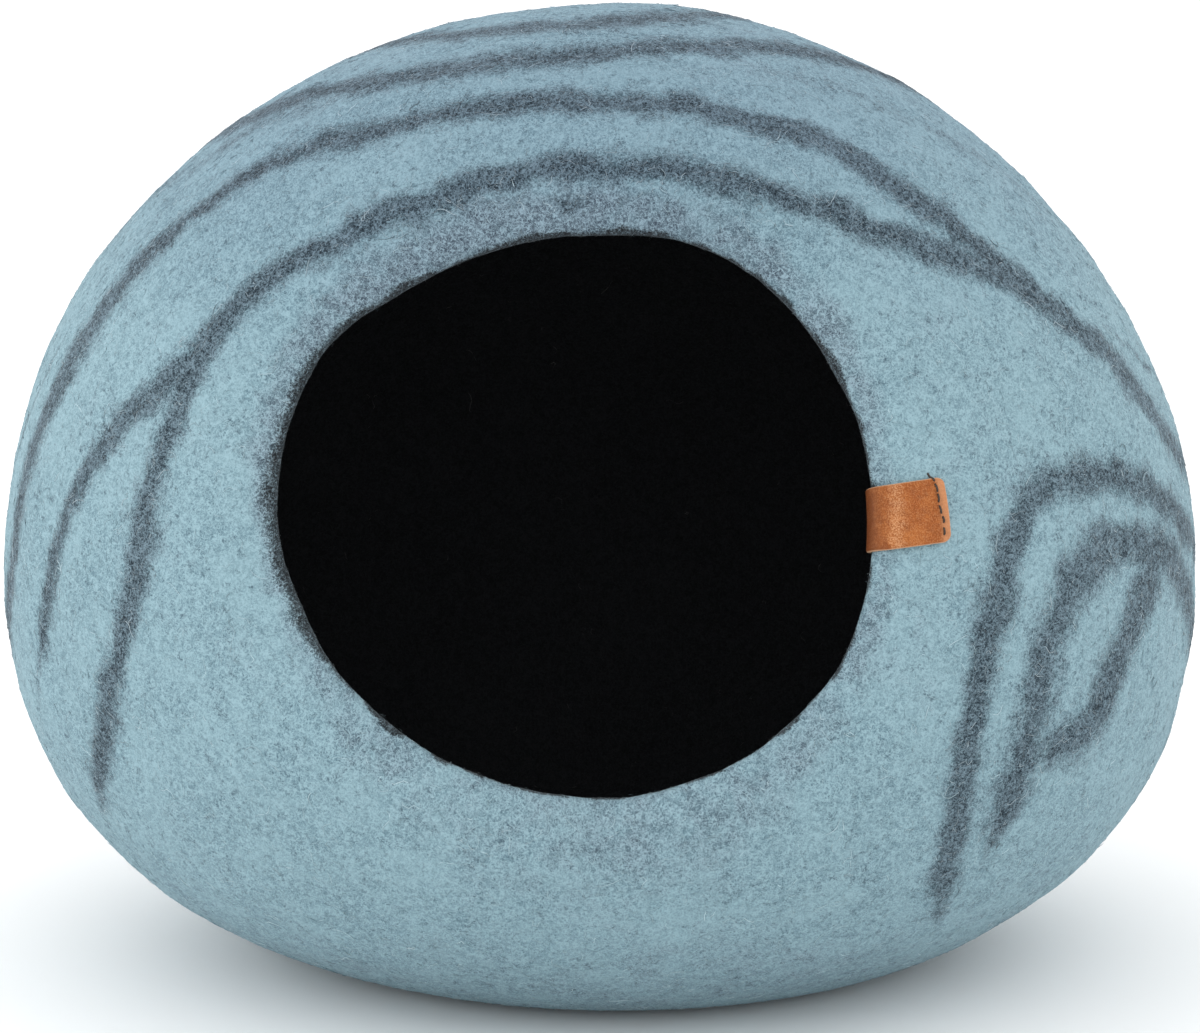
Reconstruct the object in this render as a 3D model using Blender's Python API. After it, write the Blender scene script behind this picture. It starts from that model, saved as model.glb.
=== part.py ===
"""A felt cat cave: an egg-shaped shell of thick wool felt, made in one piece with a round opening in its
front, and a small leather tab folded over the opening's lip.

Metres, +Z up, the opening faces -Y. The origin is on the floor, under the middle of the shell's bounding box.
Directions on the shell are given in two ways:
  bearing and lift  degrees round from straight ahead (right is +) and up from level, seen from the body's middle
  polar and clock   degrees away from the opening's axis, and round that axis from its right hand side
"""

import bmesh
import bpy
import numpy as np

# The shell's outer skin: half a superellipsoid above its widest level, and half a fuller one below it.
BODY_MIDDLE = np.array([0.0000, -0.0047, 0.142])  # its height is that of the widest level
HALF_WIDTH = 0.210
HALF_DEPTH = 0.200
CROWN_RISE = 0.193  # from the widest level to the crown
BOWL_DROP = 0.155  # from the widest level to where the bowl would close, a little under the floor
CROWN_POWER = 1.93  # 2 is an ellipse, and more is squarer
BOWL_POWER = 2.40
FLOOR_BLEND = 0.006  # height over which the bowl eases into its flat foot

# The shell leans and bulges as it stands: waves in its outline seen from the front.
# columns: waves round the outline, height as a share of the radius, bearing of the first crest in degrees
OUTLINE_WAVES = (
    (2, 0.0060, 135.0),
    (3, 0.0024, 60.0),
)

# Soft hollows (-) and swellings (+) that the felting left.
# columns: bearing, lift and spread in degrees, height in mm
SWELLINGS = (
    (-112.0, 78.0, 16.0, -1.3),
    (100.0, 68.0, 14.0, 0.8),
    (90.0, 24.0, 14.0, -1.0),
    (-86.0, 8.0, 12.0, -1.5),
    (76.0, -24.0, 18.0, 1.0),
    (-36.0, -48.0, 14.0, -0.9),
    (38.0, 38.0, 16.0, -1.6),
    (-48.0, 34.0, 15.0, 1.1),
    (-52.0, -14.0, 16.0, -1.0),
    (52.0, 2.0, 13.0, 1.2),
    (150.0, 30.0, 24.0, -2.4),
    (-150.0, 12.0, 22.0, 1.8),
    (178.0, -12.0, 20.0, -1.6),
    (128.0, -8.0, 18.0, 1.4),
    (-126.0, 48.0, 20.0, -1.5),
)

# The opening.
OPENING_BEARING = -3.3
OPENING_LIFT = 15.2
# columns: clock in degrees, radius of the lip's crest from the axis in mm
OPENING_OUTLINE = (
    (0, 96.6),
    (30, 95.2),
    (60, 94.8),
    (90, 88.2),
    (120, 87.4),
    (150, 95.0),
    (180, 94.5),
    (210, 92.2),
    (240, 91.2),
    (270, 93.8),
    (300, 97.8),
    (330, 99.8),
)

# The wall and its lip.
WALL = 0.008
CURL_DEPTH = 0.006  # how far the skin has turned in where it meets the lip
CURL_REACH = 0.028  # the width of the band beside the lip that turns in

# The leather tab, folded over the lip.
TAB_CLOCK = -3.2
TAB_WIDTH = 0.0206
TAB_THICKNESS = 0.0016
TAB_FRONT_LENGTH = 0.0252  # from the crest of the lip to the front leaf's end
TAB_BACK_LENGTH = 0.0235
TAB_LEAN = 13.0  # degrees by which both leaves lean up from square across the lip
TAB_END_LEAN = 6.0  # degrees by which its cut ends lean from parallel to the lip
TAB_CORNER = 0.0024
SEAT_GAP = 0.0003  # between touching pieces

# How finely the surfaces are divided.
AROUND = 64
LIP_BAND_ROWS = 4
OUTER_ROWS = 26
INNER_ROWS = 22
LIP_ROWS = 6
TAB_ACROSS = 5
TAB_STATIONS = 26

FELT_BLUE = (0.235, 0.375, 0.425, 1.0)
LEATHER_TAN = (0.440, 0.165, 0.058, 1.0)


def direction(bearing, lift):
    """Unit vectors for a bearing and a lift in degrees."""
    b, a = np.radians(bearing), np.radians(lift)
    return np.stack([np.sin(b) * np.cos(a), -np.cos(b) * np.cos(a), np.sin(a) * np.ones_like(b)], -1)


AXIS = direction(OPENING_BEARING, OPENING_LIFT)
RIGHT = np.array([1.0, 0.0, 0.0]) - AXIS * AXIS[0]
RIGHT /= np.linalg.norm(RIGHT)
UP = np.cross(AXIS, RIGHT)


def length(vectors):
    return np.linalg.norm(vectors, axis=-1, keepdims=True)


def body_radius(towards):
    """Distance from the body's middle to its outer skin, along unit vectors."""
    x, y, z = towards[..., 0], towards[..., 1], towards[..., 2]
    above = z >= 0
    power = np.where(above, CROWN_POWER, BOWL_POWER)
    height = np.where(above, CROWN_RISE, BOWL_DROP)
    level = np.hypot(x / HALF_WIDTH, y / HALF_DEPTH)
    radius = (level**power + np.abs(z / height) ** power) ** (-1 / power)
    outline_angle = np.arctan2(z, x)
    across_view = 1 - y**2
    for waves, share, crest in OUTLINE_WAVES:
        radius = radius * (1 + across_view * share * np.cos(waves * (outline_angle - np.radians(crest))))
    for bearing, lift, spread, height_mm in SWELLINGS:
        away = np.arccos(np.clip(towards @ direction(bearing, lift), -1, 1))
        radius = radius + 0.001 * height_mm * np.exp(-((away / np.radians(spread)) ** 2))
    return radius


def on_floor(points):
    """Eases everything that would lie under the floor up to it, which makes the flat foot."""
    z = points[..., 2]
    eased = np.where(z > FLOOR_BLEND, z, (z + FLOOR_BLEND) ** 2 / (4 * FLOOR_BLEND))
    points[..., 2] = np.where(z < -FLOOR_BLEND, 0.0, eased)
    return points


def towards_of(polar, clock):
    """Unit vectors for polar and clock in radians."""
    ring = np.cos(clock)[..., None] * RIGHT + np.sin(clock)[..., None] * UP
    return np.cos(polar)[..., None] * AXIS + np.sin(polar)[..., None] * ring


def lip_crest_radius(clock):
    """The opening's outline: a smooth closed curve through its table, in metres."""
    radii = np.array([row[1] for row in OPENING_OUTLINE]) * 0.001
    place = (clock / (2 * np.pi) * len(radii)) % len(radii)
    i = np.floor(place).astype(int)
    t = place - i
    a, b, c, d = (radii[(i + k) % len(radii)] for k in (-1, 0, 1, 2))
    return b + 0.5 * t * (c - a + t * (2 * a - 5 * b + 4 * c - d + t * (3 * (b - c) + d - a)))


def lip_polar(clock):
    """The polar angle at which the outer skin ends and the rounded lip starts."""
    radius = lip_crest_radius(clock) + WALL / 2
    polar = np.full_like(clock, 0.5)
    for _ in range(8):
        polar = np.arcsin(radius / (body_radius(towards_of(polar, clock)) - CURL_DEPTH))
    return polar


def outer_point(polar, clock):
    """The outer skin, turned in beside the lip."""
    towards = towards_of(polar, clock)
    radius = body_radius(towards)
    from_lip = np.clip((polar - lip_polar(clock)) * radius / CURL_REACH, 0, 1)
    radius = radius - CURL_DEPTH * (1 - from_lip) ** 2
    return on_floor(BODY_MIDDLE + towards * radius[..., None])


def outer_normal(polar, clock):
    """Unit vectors square to the outer skin, pointing out."""
    step = 1e-4
    away = outer_point(polar + step, clock) - outer_point(polar, clock)
    round_axis = outer_point(polar, clock + step) - outer_point(polar, clock)
    normal = np.cross(away, round_axis)
    return normal / length(normal)


def lip_frame(clock):
    """The middle of the lip's half round end, and the unit vectors out of the skin and in to the opening."""
    polar = lip_polar(clock)
    normal = outer_normal(polar, clock)
    inward = outer_point(polar, clock) - outer_point(polar + 1e-3, clock)
    inward /= length(inward)
    return outer_point(polar, clock) - normal * WALL / 2, normal, inward


def wall_point(along, clock, proud=0.0):
    """A point on the felt's surface, `along` metres from the lip's crest: + on the outer skin, - on the inner one.
    It stands `proud` metres off the felt."""
    quarter = np.pi / 4 * WALL
    middle, normal, inward = lip_frame(clock)
    turn = np.clip(along / quarter, -1, 1) * np.pi / 2
    reach = WALL / 2 + proud
    on_lip = middle + reach * (np.sin(turn)[..., None] * normal + np.cos(turn)[..., None] * inward)
    polar = lip_polar(clock) + np.clip(np.abs(along) - quarter, 1e-6, None) / body_radius(
        towards_of(lip_polar(clock), clock)
    )
    skin = outer_point(polar, clock)
    skin_normal = outer_normal(polar, clock)
    off_skin = np.where(along > 0, proud, -WALL - proud)[..., None]
    return np.where((np.abs(along) > quarter)[..., None], skin + skin_normal * off_skin, on_lip)


def axis_distance(points):
    from_middle = points - BODY_MIDDLE
    return np.linalg.norm(from_middle - (from_middle @ AXIS)[..., None] * AXIS, axis=-1)


def shell_rows():
    """Rings of points from the back of the outer skin, over the lip, to the back of the inner skin."""
    clock = np.linspace(0, 2 * np.pi, AROUND, endpoint=False)
    lip = lip_polar(clock)
    band = lip + CURL_REACH / body_radius(towards_of(lip, clock))

    def polar_rows(rows, band_rows):
        beside_lip = [lip + (band - lip) * k / band_rows for k in range(band_rows)]
        beyond = [band + (np.pi - band) * k / rows for k in range(rows)]
        return beside_lip + beyond

    outer = [outer_point(polar, clock) for polar in polar_rows(OUTER_ROWS, LIP_BAND_ROWS)]
    quarter = np.pi / 4 * WALL
    lip_rings = [
        wall_point(np.full(AROUND, quarter * (1 - 2 * k / LIP_ROWS)), clock) for k in range(1, LIP_ROWS)
    ]
    inner = [
        outer_point(polar, clock) - WALL * outer_normal(polar, clock)
        for polar in polar_rows(INNER_ROWS, LIP_BAND_ROWS)
    ]
    back = np.array([np.pi]), np.array([0.0])
    back_outer = outer_point(*back)
    back_inner = back_outer - WALL * outer_normal(np.array([np.pi - 1e-3]), back[1])
    return [back_outer, *outer[::-1], *lip_rings, *inner, back_inner]


def strip_half_width(from_end):
    """Half the tab's width, `from_end` metres from the nearer cut end, with its corners rounded."""
    short = np.clip(1 - from_end / TAB_CORNER, 0, 1)
    return TAB_WIDTH / 2 - TAB_CORNER * (1 - np.sqrt(1 - short**2))


def tab_rows():
    """Cross-sections of the leather strip, from its front end, over the lip, to its back end."""
    ends = np.array([0.0, 0.12, 0.4, 1.0]) * TAB_CORNER
    middle = np.linspace(TAB_FRONT_LENGTH - 2 * TAB_CORNER, 2 * TAB_CORNER - TAB_BACK_LENGTH, TAB_STATIONS)
    stations = [*(TAB_FRONT_LENGTH - ends), *middle, *(ends[::-1] - TAB_BACK_LENGTH)]
    rows = []
    for along in stations:
        from_end = min(TAB_FRONT_LENGTH - along, along + TAB_BACK_LENGTH)
        across = np.linspace(-1, 1, TAB_ACROSS) * strip_half_width(from_end)
        place = along * (1 - across / TAB_FRONT_LENGTH * np.tan(np.radians(TAB_END_LEAN)))
        from_fold = np.hypot(along, WALL / 2) - WALL / 2
        sideways = across + from_fold * np.tan(np.radians(TAB_LEAN))
        clock = np.full(TAB_ACROSS, np.radians(TAB_CLOCK))
        clock = clock + sideways / axis_distance(wall_point(place, clock))
        under = wall_point(place, clock, SEAT_GAP)
        over = wall_point(place, clock, SEAT_GAP + TAB_THICKNESS)
        rows.append(np.concatenate([over, under[::-1]]))
    return rows


def loft(name, rows, colour, roughness):
    """One closed mesh through rings of points. A ring of one point is a pole, and any other end is capped."""
    bm = bmesh.new()
    rings = [[bm.verts.new(point) for point in row] for row in rows]
    for first, second in zip(rings, rings[1:]):
        count = max(len(first), len(second))
        for k in range(count):
            corners = [first[k % len(first)], first[(k + 1) % len(first)]]
            corners += [second[(k + 1) % len(second)], second[k % len(second)]]
            bm.faces.new(dict.fromkeys(corners))
    for ring in (rings[0], rings[-1]):
        if len(ring) > 1:
            bm.faces.new(ring)
    bmesh.ops.recalc_face_normals(bm, faces=bm.faces)
    mesh = bpy.data.meshes.new(name)
    bm.to_mesh(mesh)
    bm.free()
    mesh.shade_smooth()
    mesh.set_sharp_from_angle(angle=np.radians(50))

    material = bpy.data.materials.new(name)
    material.use_nodes = True
    shader = material.node_tree.nodes["Principled BSDF"]
    shader.inputs["Base Color"].default_value = colour
    shader.inputs["Roughness"].default_value = roughness
    mesh.materials.append(material)
    made = bpy.data.objects.new(name, mesh)
    bpy.context.scene.collection.objects.link(made)
    return made


def main():
    for old in list(bpy.data.objects):
        bpy.data.objects.remove(old)
    loft("felt_shell", shell_rows(), FELT_BLUE, 0.95)
    loft("leather_tab", tab_rows(), LEATHER_TAN, 0.55)


main()
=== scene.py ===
"""Finish of the felt cat cave: matted wool with soft charcoal bands, loose fibres all over it, and a
stitched leather tab. Metres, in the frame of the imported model.

Directions on the shell are given in two ways:
  bearing and lift  degrees round from straight ahead (right is +) and up from level, from the body's middle
  polar and clock   radians away from the opening's axis, and round that axis from its right hand side
"""

import bpy
import numpy as np
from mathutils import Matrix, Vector


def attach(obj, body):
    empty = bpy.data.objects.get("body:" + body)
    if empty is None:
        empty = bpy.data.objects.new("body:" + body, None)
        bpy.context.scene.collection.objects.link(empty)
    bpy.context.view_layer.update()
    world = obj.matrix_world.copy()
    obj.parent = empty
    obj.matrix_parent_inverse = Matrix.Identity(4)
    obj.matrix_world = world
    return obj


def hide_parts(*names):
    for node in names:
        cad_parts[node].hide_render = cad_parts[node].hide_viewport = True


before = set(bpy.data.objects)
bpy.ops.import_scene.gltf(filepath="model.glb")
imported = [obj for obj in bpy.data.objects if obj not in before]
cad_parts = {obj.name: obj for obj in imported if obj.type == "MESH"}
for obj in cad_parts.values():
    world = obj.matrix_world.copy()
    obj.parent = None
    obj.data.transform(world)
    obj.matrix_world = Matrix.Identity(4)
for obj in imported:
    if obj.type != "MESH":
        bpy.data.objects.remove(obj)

MM = 0.001

# ------------------------------------------------------- the shell's form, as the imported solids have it
BODY_MIDDLE = np.array([0.0000, -0.0047, 0.142])
HALF_WIDTH = 0.210
HALF_DEPTH = 0.200
CROWN_RISE = 0.193
BOWL_DROP = 0.155
CROWN_POWER = 1.93
BOWL_POWER = 2.40
FLOOR_BLEND = 0.006

# columns: waves round the outline, height as a share of the radius, bearing of the first crest in degrees
OUTLINE_WAVES = (
    (2, 0.0060, 135.0),
    (3, 0.0024, 60.0),
)

# columns: bearing, lift and spread in degrees, height in mm
SWELLINGS = (
    (-112.0, 78.0, 16.0, -1.3),
    (100.0, 68.0, 14.0, 0.8),
    (90.0, 24.0, 14.0, -1.0),
    (-86.0, 8.0, 12.0, -1.5),
    (76.0, -24.0, 18.0, 1.0),
    (-36.0, -48.0, 14.0, -0.9),
    (38.0, 38.0, 16.0, -1.6),
    (-48.0, 34.0, 15.0, 1.1),
    (-52.0, -14.0, 16.0, -1.0),
    (52.0, 2.0, 13.0, 1.2),
    (150.0, 30.0, 24.0, -2.4),
    (-150.0, 12.0, 22.0, 1.8),
    (178.0, -12.0, 20.0, -1.6),
    (128.0, -8.0, 18.0, 1.4),
    (-126.0, 48.0, 20.0, -1.5),
)

OPENING_BEARING = -3.3
OPENING_LIFT = 15.2
# columns: clock in degrees, radius of the lip's crest from the axis in mm
OPENING_OUTLINE = (
    (0, 96.6),
    (30, 95.2),
    (60, 94.8),
    (90, 88.2),
    (120, 87.4),
    (150, 95.0),
    (180, 94.5),
    (210, 92.2),
    (240, 91.2),
    (270, 93.8),
    (300, 97.8),
    (330, 99.8),
)

WALL = 0.008
CURL_DEPTH = 0.006
CURL_REACH = 0.028

TAB_CLOCK = -3.2
TAB_WIDTH = 0.0206
TAB_THICKNESS = 0.0016
TAB_FRONT_LENGTH = 0.0252
TAB_BACK_LENGTH = 0.0235
TAB_LEAN = 13.0
TAB_END_LEAN = 6.0
TAB_CORNER = 0.0024
SEAT_GAP = 0.0003

# ------------------------------------------------------- unevenness
# rows for ripples(): how many waves, longest and shortest wave, usual height
BROAD_LUMPS = (40, 0.070, 0.026, 0.28 * MM)
FINE_LUMPS = (60, 0.016, 0.007, 0.09 * MM)
BAND_WANDER = (30, 0.045, 0.012, 1.0 * MM)
WEAR_AND_SHADE_WANDER = (30, 0.024, 0.007, 0.6 * MM)
LEATHER_GRAIN = (24, 0.006, 0.0016, 0.02 * MM)
LUMP_SEED = 11
BAND_SEEDS = (31, 32, 33)
WEAR_AND_SHADE_SEEDS = (41, 42, 43)
GRAIN_SEED = 71
STITCH_SEED = 9
INNER_LUMP_SHARE = 0.6  # the inner skin's lumps against the outer skin's
LUMPS_FROM_TAB = (0.019, 0.034)  # distances from the tab over which the lumps come in
LUMPS_FROM_FLOOR = (0.004, 0.030)  # and the heights

# ------------------------------------------------------- the bands laid in the wool
# Each band is a row: half width in mm, darkness, length in mm over which each end fades out,
# and the (bearing, lift) points that its middle passes through.
BANDS = (
    # over the opening, and its two branches down the left
    (7.4, 1.00, 8, 6,
     ((-47, 24), (-41.5, 33.6), (-28, 43), (-7, 49.8), (14, 49.3), (32, 43.6), (46, 37), (59, 31.5))),
    (6.4, 0.97, 6, 50, ((-46, 26), (-53, 18.5), (-59.5, 9), (-64, -2), (-70, -14))),
    (6.9, 1.00, 6, 30, ((-46, 26), (-47, 13), (-48.5, 2), (-53, -8), (-58, -16), (-64, -24))),
    # the next one up, which meets the first at the right
    (7.4, 1.00, 60, 30,
     ((-132, -26), (-116, -22), (-98, -16), (-84, -9), (-76, -1), (-72, 13), (-66, 32), (-56, 46),
      (-35, 55.5), (-9, 60), (18, 58.5), (34, 55.3))),
    (8.0, 1.00, 60, 60,
     ((-2, 60.2), (18, 58.5), (37, 53.2), (47.5, 43.6), (57, 31.8), (67, 22.5), (77, 12.5), (90, 8), (106, 8),
      (124, 2))),
    (10.0, 0.95, 40, 60,
     ((-88, -11), (-76, -1), (-72, 13), (-66, 32), (-56, 46), (-35, 55.5), (-9, 60))),
    # a broad faint haze on either side of the crown, and a faint line down either side
    (24.0, 0.44, 60, 60, ((-98, 16), (-88, 34), (-74, 48), (-56, 58), (-34, 64))),
    (24.0, 0.34, 60, 60, ((22, 65), (52, 61), (73, 48), (84, 34), (91, 18))),
    (3.4, 0.70, 30, 50, ((-75, 30), (-77, 20), (-82, 10), (-93, 3), (-108, 0))),
    (3.4, 0.70, 30, 50, ((66, 28), (75, 22), (85, 18), (98, 18), (112, 22))),
    # two over the crown
    (9.4, 0.95, 50, 50,
     ((-146, -16), (-136, 6), (-120, 25), (-102, 40), (-83, 51), (-63, 58.5), (-42, 64), (-16, 68.5),
      (18, 71), (48, 70), (74, 65), (95, 56.5), (114, 46), (132, 34), (146, 20))),
    (11.0, 0.88, 50, 50,
     ((-158, 26), (-141, 45), (-114, 60), (-80, 69.5), (-46, 75), (0, 78.5), (52, 80), (98, 77), (128, 69),
      (146, 57))),
    # the arch low on the right, and the loop inside it
    (7.2, 1.00, 34, 50,
     ((42.5, -34), (37.5, -22), (36, -12), (37, -3), (39.5, 5), (43, 10.5), (50, 13.2), (58, 12.5), (67, 9),
      (76, 4.5), (88, 0), (102, -4), (116, -12), (126, -24))),
    (9.6, 1.00, 36, 60,
     ((42.2, -27), (43, -15), (44.3, -7), (46, 0), (50, 4.8), (56, 6), (63, 4.8), (70, 2), (79, -5),
      (92, -11), (104, -20))),
    (10.2, 1.00, 12, 6, ((66, 4.5), (60, 0), (55.5, -5), (52, -9.5), (45.5, -13))),
    # an arch and a hook on the back
    (5.4, 0.95, 26, 40,
     ((157, -34), (149, -16), (147, 4), (152, 24), (163, 40), (180, 47), (198, 46), (213, 35), (222, 18),
      (225, 0), (221, -20))),
    (5.6, 0.95, 14, 30,
     ((176, -30), (167, -14), (165, 3), (171, 18), (184, 26), (198, 22), (205, 9), (203, -5), (194, -12),
      (186, -9))),
    # a smudge over the opening
    (4.6, 0.80, 5, 7, ((-8.5, 46.6), (-4.5, 46.4), (-0.5, 47.0))),
)
BAND_END_WIDTH = 0.40  # a band's width where it has faded out, against its full width
BAND_FADE_CURVE = 0.6
BAND_FADE_DEPTH = 1.6  # how much depth a band loses where it has faded out
NO_BAND = -4.0  # the band depth of wool that is nowhere near one
CHUNKS = 24  # the points are compared with a band in this many lots

# columns: clock in degrees, how far the thin wool and its painted shade reach from the crest in mm, how thin
# and dark it gets, and how far the dark rim, painted shade with some worn wool, reaches in mm
LIP_WEAR_AND_SHADE = (
    (0, 12, 0.60, 1.4),
    (45, 18, 0.75, 0.9),
    (90, 29, 1.00, 0.9),
    (135, 21, 0.85, 1.6),
    (180, 12, 0.80, 9.0),
    (205, 12, 0.60, 5.0),
    (222, 18, 0.42, 0.9),
    (250, 40, 0.44, 0.2),
    (290, 44, 0.48, 0.2),
    (325, 16, 0.55, 0.9),
    (360, 12, 0.60, 1.4),
)
FOOT_SHADE = 0.24  # painted shade: how much darker the blue wool is made beside the foot, near the floor
FOOT_SHADE_HEIGHTS = (0.012, 0.055)

# ------------------------------------------------------- how finely the wall is made
AROUND = 320
LIP_BAND_ROWS = 16
OUTER_ROWS = 200
INNER_ROWS = 44
INNER_LIP_BAND_ROWS = 8
LIP_ROWS = 10
RING_CLOCKS = np.linspace(0, 2 * np.pi, AROUND, endpoint=False)
BACK_GAP = 0.004  # radians from the last ring to the middle of the back
CREST_REACH = 0.0045  # how far from the lip the fringe of loose fibres grows
INSIDE_FROM = 0.80  # from here on, the wall counts as inside
WALL_VALUES = ("band", "inside", "thin", "rim", "crest")


# ================================================================ the shell's form
def direction(bearing, lift):
    """Unit vectors for a bearing and a lift in degrees."""
    b, a = np.radians(bearing), np.radians(lift)
    return np.stack([np.sin(b) * np.cos(a), -np.cos(b) * np.cos(a), np.sin(a) * np.ones_like(b)], -1)


AXIS = direction(OPENING_BEARING, OPENING_LIFT)
RIGHT = np.array([1.0, 0.0, 0.0]) - AXIS * AXIS[0]
RIGHT /= np.linalg.norm(RIGHT)
UP = np.cross(AXIS, RIGHT)
SWELLING_TABLE = np.array(SWELLINGS)
SWELLING_WAYS = direction(SWELLING_TABLE[:, 0], SWELLING_TABLE[:, 1])
SWELLING_SPREADS = np.radians(SWELLING_TABLE[:, 2])
SWELLING_HEIGHTS = SWELLING_TABLE[:, 3] * MM


def unit(vectors):
    return vectors / np.linalg.norm(vectors, axis=-1, keepdims=True)


def smooth_step(value, low, high):
    t = np.clip((value - low) / (high - low), 0, 1)
    return t * t * (3 - 2 * t)


def curve_between(a, b, c, d, t):
    """The smooth curve from b to c, which a and d steer, at the shares t."""
    return b + 0.5 * t * (c - a + t * (2 * a - 5 * b + 4 * c - d + t * (3 * (b - c) + d - a)))


def body_radius(towards):
    """Distance from the body's middle to its outer skin, along unit vectors."""
    x, y, z = towards[..., 0], towards[..., 1], towards[..., 2]
    above = z >= 0
    power = np.where(above, CROWN_POWER, BOWL_POWER)
    height = np.where(above, CROWN_RISE, BOWL_DROP)
    level = np.hypot(x / HALF_WIDTH, y / HALF_DEPTH)
    radius = (level**power + np.abs(z / height) ** power) ** (-1 / power)
    outline_angle = np.arctan2(z, x)
    across_view = 1 - y**2
    for waves, share, crest in OUTLINE_WAVES:
        radius = radius * (1 + across_view * share * np.cos(waves * (outline_angle - np.radians(crest))))
    away = np.arccos(np.clip(towards @ SWELLING_WAYS.T, -1, 1))
    return radius + np.exp(-((away / SWELLING_SPREADS) ** 2)) @ SWELLING_HEIGHTS


def on_floor(points):
    """Eases everything that would lie under the floor up to it, which makes the flat foot."""
    z = points[..., 2]
    eased = np.where(z > FLOOR_BLEND, z, (z + FLOOR_BLEND) ** 2 / (4 * FLOOR_BLEND))
    points[..., 2] = np.where(z < -FLOOR_BLEND, 0.0, eased)
    return points


def towards_of(polar, clock):
    """Unit vectors for polar and clock in radians."""
    ring = np.cos(clock)[..., None] * RIGHT + np.sin(clock)[..., None] * UP
    return np.cos(polar)[..., None] * AXIS + np.sin(polar)[..., None] * ring


def lip_crest_radius(clock):
    """The opening's outline: a smooth closed curve through its table, in metres."""
    radii = np.array([row[1] for row in OPENING_OUTLINE]) * MM
    place = (clock / (2 * np.pi) * len(radii)) % len(radii)
    i = np.floor(place).astype(int)
    return curve_between(*(radii[(i + k) % len(radii)] for k in (-1, 0, 1, 2)), place - i)


def lip_polar(clock):
    """The polar angle at which the outer skin ends and the rounded lip starts."""
    radius = lip_crest_radius(clock) + WALL / 2
    polar = np.full_like(clock, 0.5)
    for _ in range(8):
        polar = np.arcsin(radius / (body_radius(towards_of(polar, clock)) - CURL_DEPTH))
    return polar


def outer_point(polar, clock):
    """The outer skin, turned in beside the lip."""
    towards = towards_of(polar, clock)
    radius = body_radius(towards)
    from_lip = np.clip((polar - lip_polar(clock)) * radius / CURL_REACH, 0, 1)
    radius = radius - CURL_DEPTH * (1 - from_lip) ** 2
    return on_floor(BODY_MIDDLE + towards * radius[..., None])


def outer_normal(polar, clock):
    """Unit vectors square to the outer skin, pointing out."""
    step = 1e-4
    away = outer_point(polar + step, clock) - outer_point(polar, clock)
    round_axis = outer_point(polar, clock + step) - outer_point(polar, clock)
    return unit(np.cross(away, round_axis))


def wall_point(along, clock, proud=0.0):
    """A point on the felt's surface, `along` metres from the lip's crest: + on the outer skin, - on the
    inner one. It stands `proud` metres off the felt."""
    quarter = np.pi / 4 * WALL
    polar = lip_polar(clock)
    lip_end = outer_point(polar, clock)
    normal = outer_normal(polar, clock)
    inward = unit(lip_end - outer_point(polar + 1e-3, clock))
    turn = np.clip(along / quarter, -1, 1) * np.pi / 2
    arm = np.sin(turn)[..., None] * normal + np.cos(turn)[..., None] * inward
    on_lip = lip_end - normal * WALL / 2 + arm * np.asarray(WALL / 2 + proud)[..., None]
    beyond = np.clip(np.abs(along) - quarter, 1e-6, None)
    polar = polar + beyond / body_radius(towards_of(polar, clock))
    skin = outer_point(polar, clock)
    off_skin = np.where(along > 0, proud, -WALL - np.asarray(proud))[..., None]
    on_skin = skin + outer_normal(polar, clock) * off_skin
    return np.where((np.abs(along) > quarter)[..., None], on_skin, on_lip)


def axis_distance(points):
    from_middle = points - BODY_MIDDLE
    return np.linalg.norm(from_middle - (from_middle @ AXIS)[..., None] * AXIS, axis=-1)


def tab_point(along, turn=0.0):
    """A point of the outer skin under the tab, `turn` degrees round from its clock."""
    return wall_point(np.array([along]), np.radians([TAB_CLOCK + turn]))[0]


# ================================================================ unevenness
def ripples(points, seed, count, longest, shortest, height):
    """A smooth random field: plane waves of mixed direction and length, usually `height` metres high."""
    rng = np.random.default_rng(seed)
    heading = unit(rng.normal(size=(count, 3)))
    length = shortest * (longest / shortest) ** rng.random(count)
    phase = rng.random(count) * 2 * np.pi
    waves = np.cos(points @ (heading * (2 * np.pi / length)[:, None]).T + phase)
    return waves.sum(-1) * height * np.sqrt(2 / count)


def wandered(points, seeds, unevenness):
    """The points moved about by ripples, with one seed for each axis."""
    return points + np.stack([ripples(points, seed, *unevenness) for seed in seeds], -1)


def shell_lumps(points):
    """How far the felt swells out: soft lumps a finger wide and finer ones between them. None at the foot
    or under the tab."""
    lumps = ripples(points, LUMP_SEED, *BROAD_LUMPS) + ripples(points, LUMP_SEED + 1, *FINE_LUMPS)
    from_tab = np.linalg.norm(points - tab_point(0.010), axis=-1)
    return lumps * smooth_step(from_tab, *LUMPS_FROM_TAB) * smooth_step(points[..., 2], *LUMPS_FROM_FLOOR)


# ================================================================ bands and wear
def smooth_path(points, steps=24):
    """A smooth curve through a short list of points, as an array of many."""
    p = np.asarray(points, float)
    p = np.concatenate([[2 * p[0] - p[1]], p, [2 * p[-1] - p[-2]]])
    t = np.linspace(0, 1, steps, endpoint=False)[:, None]
    runs = [curve_between(a, b, c, d, t) for a, b, c, d in zip(p, p[1:], p[2:], p[3:])]
    return np.concatenate([*runs, p[-2:-1]])


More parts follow.
